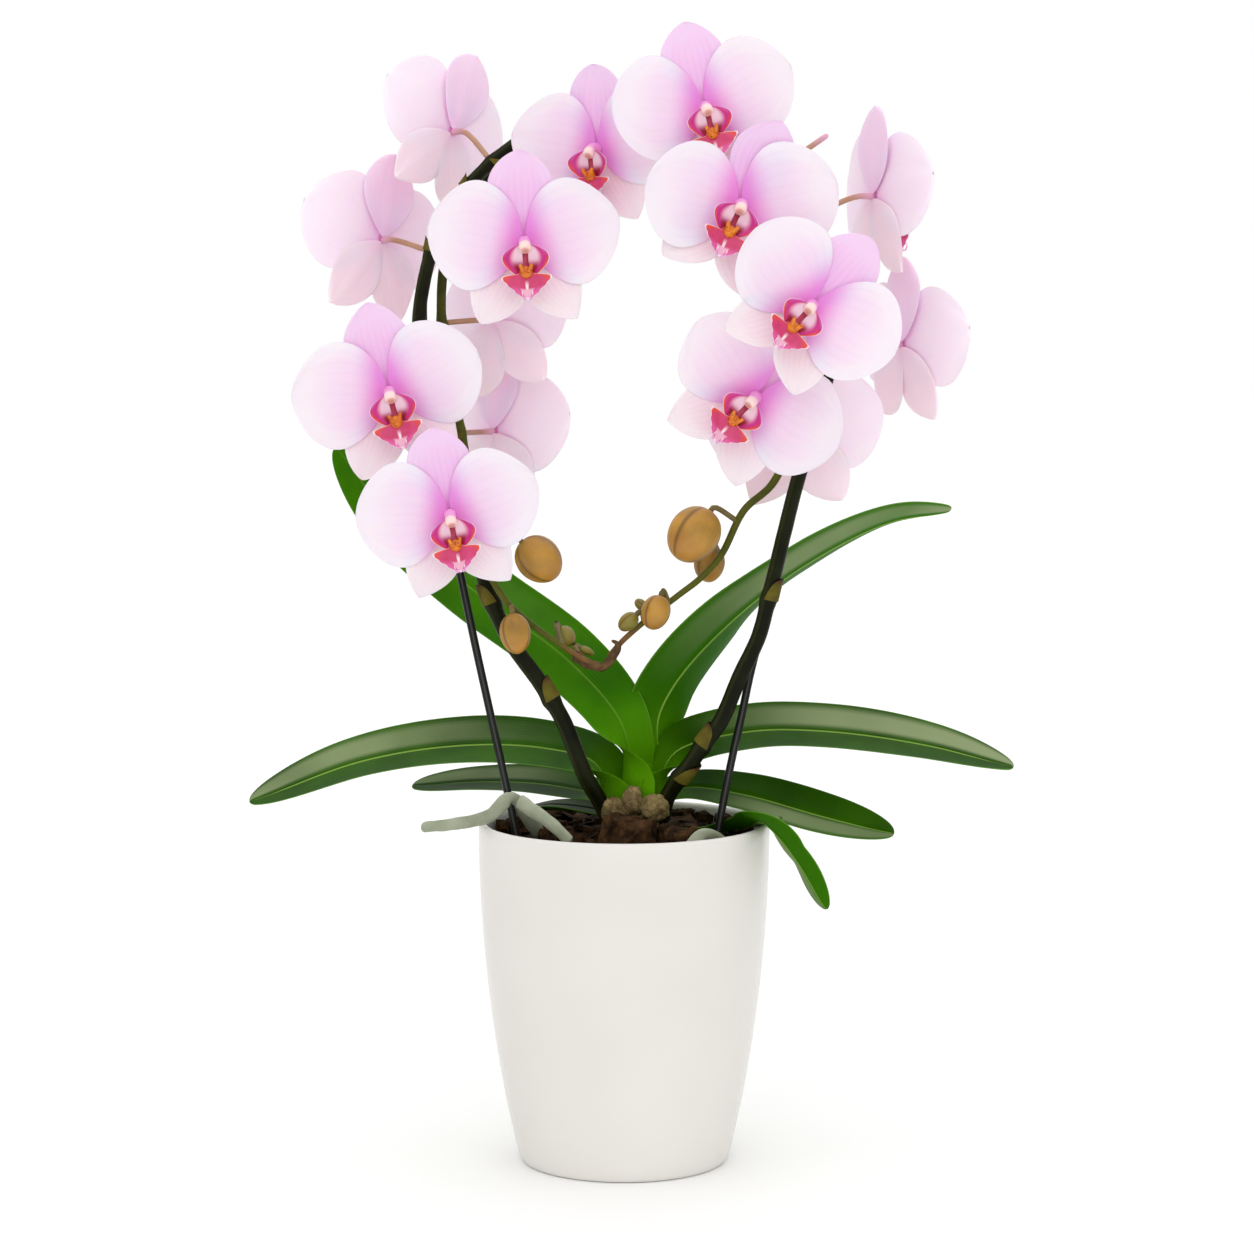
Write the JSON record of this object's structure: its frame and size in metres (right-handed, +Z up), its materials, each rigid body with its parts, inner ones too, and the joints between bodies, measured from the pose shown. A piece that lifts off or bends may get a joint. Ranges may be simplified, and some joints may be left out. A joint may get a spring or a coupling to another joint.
{
  "type": "potted orchid",
  "caption": "Moth orchid in a tapered white ceramic pot, its two flower spikes trained round a wire hoop, with pink open flowers, buds, strap leaves and roots on bark",
  "frame": {"origin": "Centre of the pot's flat underside", "axes": "+Z up along the pot's axis, +X to the right seen from the front, the open flowers face -Y"},
  "size_m": [0.3673, 0.1749, 0.5398],
  "materials": {
    "glazed_pot": "smooth warm-white glaze",
    "bark": "rough dark bark chips",
    "crown": "bright green leaf sheaths",
    "root_knobs": "scaly brown-grey stubs",
    "aerial_root": "dry silvery root skin",
    "leaf": "waxy dark green with a silvery sheen",
    "hoop_wire": "black coated wire",
    "spike": "near-black green stem, olive towards the tip",
    "petal": "soft pale pink, deeper at the heart",
    "lip": "waxy magenta with orange-red edges",
    "bud": "tan to olive bud skin with a pink tint"
  },
  "bodies": {
    "root": {"pot": "glazed_pot", "bark_bed": "bark", "bark_chip_1": "bark", "bark_chip_2": "bark", "bark_chip_3": "bark", "crown": "crown", "root_knobs": "root_knobs", "aerial_root_outer": "aerial_root", "aerial_root_inner": "aerial_root", "aerial_root_right": "aerial_root", "leaf_left_long": "leaf", "leaf_left_low": "leaf", "leaf_left_under": "leaf", "leaf_left_up": "leaf", "leaf_right_up": "leaf", "leaf_right_long": "leaf", "leaf_right_low": "leaf", "leaf_right_droop": "leaf", "support_hoop": "hoop_wire", "spike_left": "spike", "spike_right": "spike", "flower_01": "petal", "flower_02": "petal", "flower_03": "petal", "flower_04": "petal", "flower_05": "petal", "flower_06": "petal", "flower_07": "petal", "flower_08": "petal", "flower_09": "petal", "flower_10": "petal", "flower_11": "petal", "flower_12": "petal", "flower_13": "petal", "flower_14": "petal", "flower_15": "petal", "lip_01": "lip", "lip_02": "lip", "lip_03": "lip", "lip_04": "lip", "lip_05": "lip", "lip_06": "lip", "lip_07": "lip", "lip_08": "lip", "lip_09": "lip", "lip_10": "lip", "lip_11": "lip", "lip_12": "lip", "lip_13": "lip", "lip_14": "lip", "lip_15": "lip", "bud_1": "bud", "bud_2": "bud", "bud_3": "bud", "bud_4": "bud", "bud_5": "bud", "bud_6": "bud", "bud_7": "bud", "bud_8": "bud", "bud_9": "bud"}
  },
  "joints": []
}
